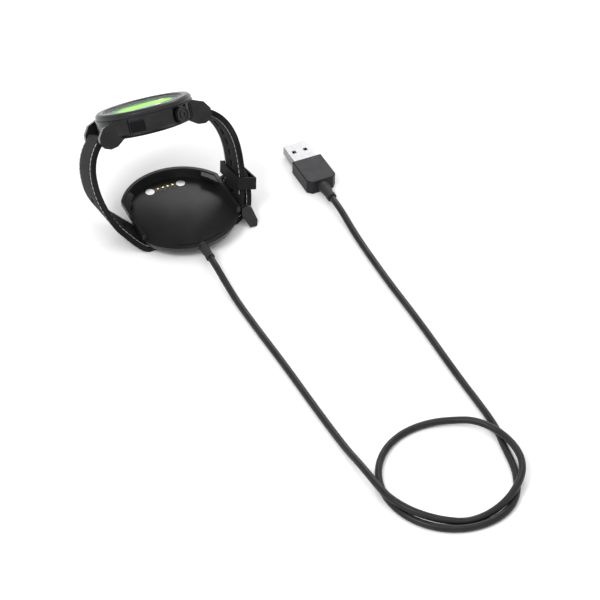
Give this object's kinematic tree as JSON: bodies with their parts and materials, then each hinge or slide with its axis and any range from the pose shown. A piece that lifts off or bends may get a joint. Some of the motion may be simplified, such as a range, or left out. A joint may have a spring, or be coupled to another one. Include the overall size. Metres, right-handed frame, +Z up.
{
  "type": "golf gps watch with charging dock",
  "caption": "Round golf watch with a buckled fabric strap closed round a shallow clip-shaped charging dock that has a coiled lead and a flat plug.",
  "frame": {"origin": "the floor point under the middle of the charging dock, on the strap's flat underside", "axes": "+Z up; +X to the watch's 12 o'clock side; -Y the way the lead leaves the dock"},
  "size_m": [0.1217, 0.2828, 0.0658],
  "materials": {
    "case_black": "satin black coating",
    "bezel_black": "polished black coating",
    "crystal": "clear",
    "display": "lit colour panel",
    "black_gloss": "gloss",
    "inner_plastic": "matte",
    "board": "solder mask",
    "battery_foil": "foil",
    "ceramic": "ceramic",
    "steel": "brushed",
    "screw_black": "black oxide",
    "gold": "gold plated",
    "rubber": "soft",
    "strap_fabric": "woven nylon with light stitching",
    "keeper_leather": "grained",
    "buckle_black": "satin black coating",
    "dock_plastic": "fine texture",
    "magnet": "nickel plated",
    "cord_black": "smooth jacket",
    "plug_plastic": "fine texture",
    "plug_steel": "satin nickel",
    "tongue_black": "matte"
  },
  "bodies": {
    "dock": {"cable_gland": "cord_black", "dock_base": "dock_plastic", "dock_board": "board", "dock_magnet_left": "magnet", "dock_magnet_right": "magnet", "dock_screw_1": "screw_black", "dock_screw_2": "screw_black", "dock_screw_3": "screw_black", "dock_screw_4": "screw_black", "dock_shell": "dock_plastic", "lead_coil": "cord_black", "lead_to_dock": "cord_black", "lead_to_plug": "cord_black", "pin_block": "inner_plastic", "plug_contacts": "gold", "plug_mould": "plug_plastic", "plug_relief": "cord_black", "plug_shell": "plug_steel", "plug_tongue": "tongue_black", "pogo_spring_1": "steel", "pogo_spring_2": "steel", "pogo_spring_3": "steel", "pogo_spring_4": "steel"},
    "watch": {"back_cover": "case_black", "back_gasket": "rubber", "back_screw_1": "screw_black", "back_screw_2": "screw_black", "back_screw_3": "screw_black", "back_screw_4": "screw_black", "battery": "battery_foil", "bezel": "bezel_black", "buckle_frame": "buckle_black", "buckle_pin": "steel", "button_seal": "rubber", "button_switch": "steel", "charge_contacts": "gold", "crystal": "crystal", "display_border": "black_gloss", "display_frame": "inner_plastic", "display_panel": "display", "gps_antenna": "ceramic", "long_strap": "strap_fabric", "main_board": "board", "mid_case": "case_black", "short_strap": "strap_fabric", "side_window": "black_gloss", "spring_bar_long": "steel", "spring_bar_short": "steel", "vibration_motor": "steel"},
    "button": {"button_cap": "bezel_black"},
    "tang": {"buckle_tang": "buckle_black"},
    "keeper": {"strap_keeper": "keeper_leather"},
    "contact_pin_1": {"pogo_pin_1": "gold"},
    "contact_pin_2": {"pogo_pin_2": "gold"},
    "contact_pin_3": {"pogo_pin_3": "gold"},
    "contact_pin_4": {"pogo_pin_4": "gold"}
  },
  "joints": [
    {"name": "watch_slide", "type": "slide", "parent": "dock", "child": "watch", "axis": [0, 1, 0], "range_m": [0, 0.065]},
    {"name": "button_press", "type": "slide", "parent": "watch", "child": "button", "axis": [-0.4695, 0.7488, -0.4679], "range_m": [0, 0.0006], "stiffness_N_per_m": 900, "springref_m": -0.0004},
    {"name": "tang_lift", "type": "hinge", "parent": "watch", "child": "tang", "pos_m": [0.0278, -0.00008, 0.00778], "axis": [0, -1, 0], "range_deg": [0, 8]},
    {"name": "keeper_slide", "type": "slide", "parent": "watch", "child": "keeper", "axis": [0.2631, 0.5112, 0.8182], "range_m": [-0.0005, 0.002]},
    {"name": "contact_pin_press_1", "type": "slide", "parent": "dock", "child": "contact_pin_1", "axis": [0, 0, -1], "range_m": [0, 0.0006], "stiffness_N_per_m": 600, "springref_m": -0.0004, "deforming": ["pogo_spring_1"]},
    {"name": "contact_pin_press_2", "type": "slide", "parent": "dock", "child": "contact_pin_2", "axis": [0, 0, -1], "range_m": [0, 0.0006], "stiffness_N_per_m": 600, "springref_m": -0.0004, "deforming": ["pogo_spring_2"]},
    {"name": "contact_pin_press_3", "type": "slide", "parent": "dock", "child": "contact_pin_3", "axis": [0, 0, -1], "range_m": [0, 0.0006], "stiffness_N_per_m": 600, "springref_m": -0.0004, "deforming": ["pogo_spring_3"]},
    {"name": "contact_pin_press_4", "type": "slide", "parent": "dock", "child": "contact_pin_4", "axis": [0, 0, -1], "range_m": [0, 0.0006], "stiffness_N_per_m": 600, "springref_m": -0.0004, "deforming": ["pogo_spring_4"]}
  ]
}
